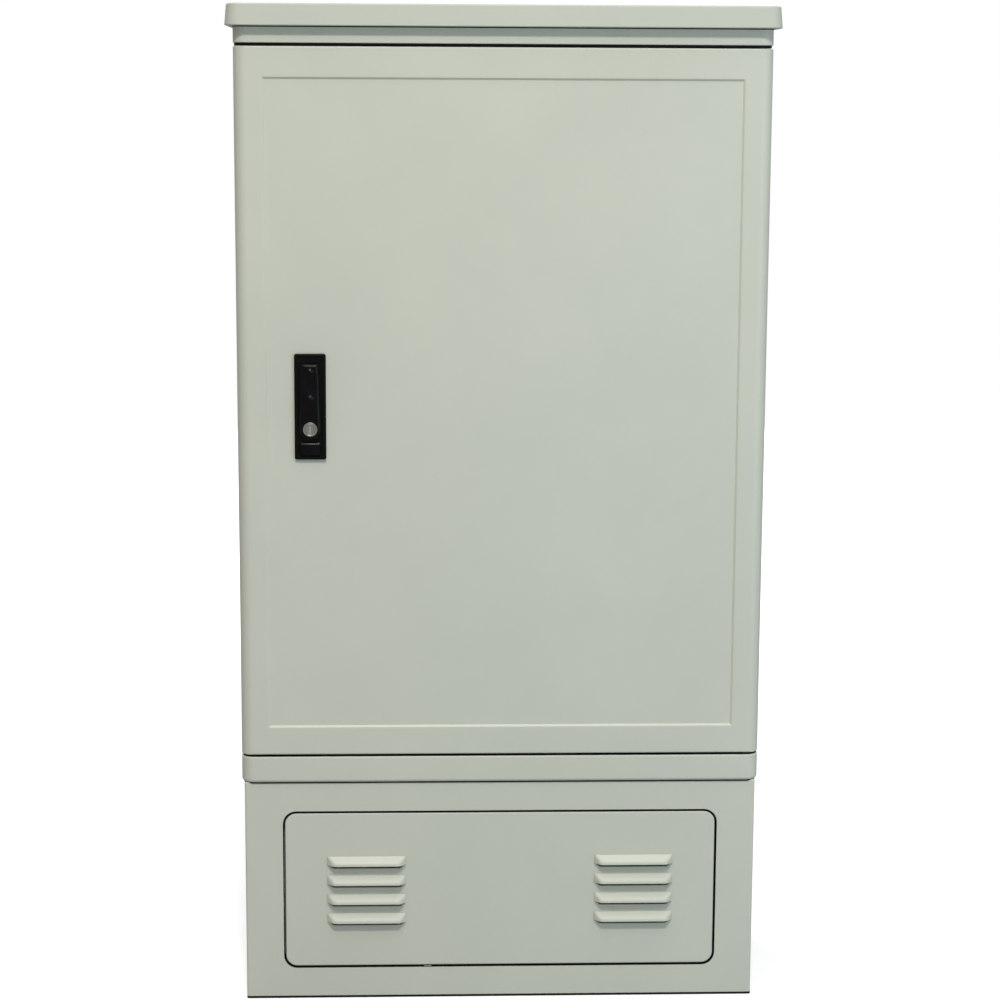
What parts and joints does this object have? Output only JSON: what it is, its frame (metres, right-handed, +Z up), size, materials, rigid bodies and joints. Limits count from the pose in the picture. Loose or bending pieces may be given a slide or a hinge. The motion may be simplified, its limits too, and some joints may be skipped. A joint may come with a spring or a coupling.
{
  "type": "roadside fibre distribution cabinet",
  "caption": "Tall moulded street cabinet on a louvred plinth, with an overhanging roof cap, a full-width recessed door, a swing-handle lock and racked splice trays inside.",
  "frame": {"origin": "on the ground at the middle of the outer size in plan", "axes": "+X to the right seen from the door, +Y from the door to the back, +Z up"},
  "size_m": [0.7708, 0.348, 1.436],
  "materials": {
    "shell": "satin",
    "zinc_sheet": "satin",
    "bright_steel": "satin",
    "tray": "matte",
    "bush": "satin",
    "gasket": "matte",
    "lock_body": "satin",
    "cylinder": "satin",
    "pocket": "satin",
    "spool": "matte",
    "earth": "satin",
    "insulator": "satin"
  },
  "bodies": {
    "cabinet": {"plinth": "shell", "sill_frame": "shell", "top_frame": "shell", "sill_stop": "shell", "head_stop": "shell", "roof_cap": "shell", "side_panel_left": "shell", "side_panel_right": "shell", "rear_panel": "shell", "entry_plate": "zinc_sheet", "upright_left": "zinc_sheet", "upright_middle": "zinc_sheet", "upright_right": "zinc_sheet", "module_frame_lower": "zinc_sheet", "module_frame_upper": "zinc_sheet", "store_plate": "zinc_sheet", "clamp_bar": "zinc_sheet", "pivot_pins": "bright_steel", "tray_pin_lower": "bright_steel", "tray_pin_upper": "bright_steel", "tray_lower_1": "tray", "tray_lower_2": "tray", "tray_lower_3": "tray", "tray_lower_4": "tray", "tray_lower_5": "tray", "tray_lower_6": "tray", "tray_upper_1": "tray", "tray_upper_2": "tray", "tray_upper_3": "tray", "tray_upper_4": "tray", "tray_upper_5": "tray", "tray_upper_6": "tray", "door_gasket": "gasket", "cable_grommets": "gasket", "store_spools": "spool", "cable_clamps": "spool", "earth_bar": "earth", "earth_insulators": "insulator"},
    "door": {"door_panel": "shell", "pivot_bushes": "bush", "document_pocket": "pocket", "lock_housing": "lock_body", "lock_clamp": "zinc_sheet", "rod_guides": "zinc_sheet"},
    "lock_turn": {"lock_spindle": "bright_steel", "lock_crank": "bright_steel", "handle_pin": "bright_steel"},
    "handle": {"lock_handle": "lock_body", "lock_barrel": "cylinder"},
    "key_plug": {"lock_plug": "cylinder"},
    "upper_bolt": {"rod_upper": "bright_steel"},
    "lower_bolt": {"rod_lower": "bright_steel"},
    "hatch": {"access_hatch": "shell", "hatch_clips": "zinc_sheet"}
  },
  "joints": [
    {"name": "door_swing", "type": "hinge", "parent": "cabinet", "child": "door", "pos_m": [0.357, -0.142, 0.87], "axis": [0, 0, 1], "range_deg": [0, 120]},
    {"name": "handle_turn", "type": "hinge", "parent": "door", "child": "lock_turn", "pos_m": [-0.2715, -0.16, 0.933], "axis": [0, -1, 0], "range_deg": [0, 90]},
    {"name": "handle_lift", "type": "hinge", "parent": "lock_turn", "child": "handle", "pos_m": [-0.2715, -0.167, 0.933], "axis": [-1, 0, 0], "range_deg": [0, 60]},
    {"name": "key_turn", "type": "hinge", "parent": "handle", "child": "key_plug", "pos_m": [-0.2715, -0.167, 0.845], "axis": [0, -1, 0], "range_deg": [0, 90]},
    {"name": "upper_bolt_slide", "type": "slide", "parent": "door", "child": "upper_bolt", "axis": [0, 0, 1], "range_m": [0, 0.0256]},
    {"name": "lower_bolt_slide", "type": "slide", "parent": "door", "child": "lower_bolt", "axis": [0, 0, -1], "range_m": [0, 0.0256]},
    {"name": "hatch_pull", "type": "slide", "parent": "cabinet", "child": "hatch", "axis": [0, -1, 0], "range_m": [0, 0.12]}
  ],
  "couplings": [
    {"joint": "upper_bolt_slide", "follows": "handle_turn", "m_per_rad": 0.016206},
    {"joint": "lower_bolt_slide", "follows": "handle_turn", "m_per_rad": 0.016206}
  ]
}
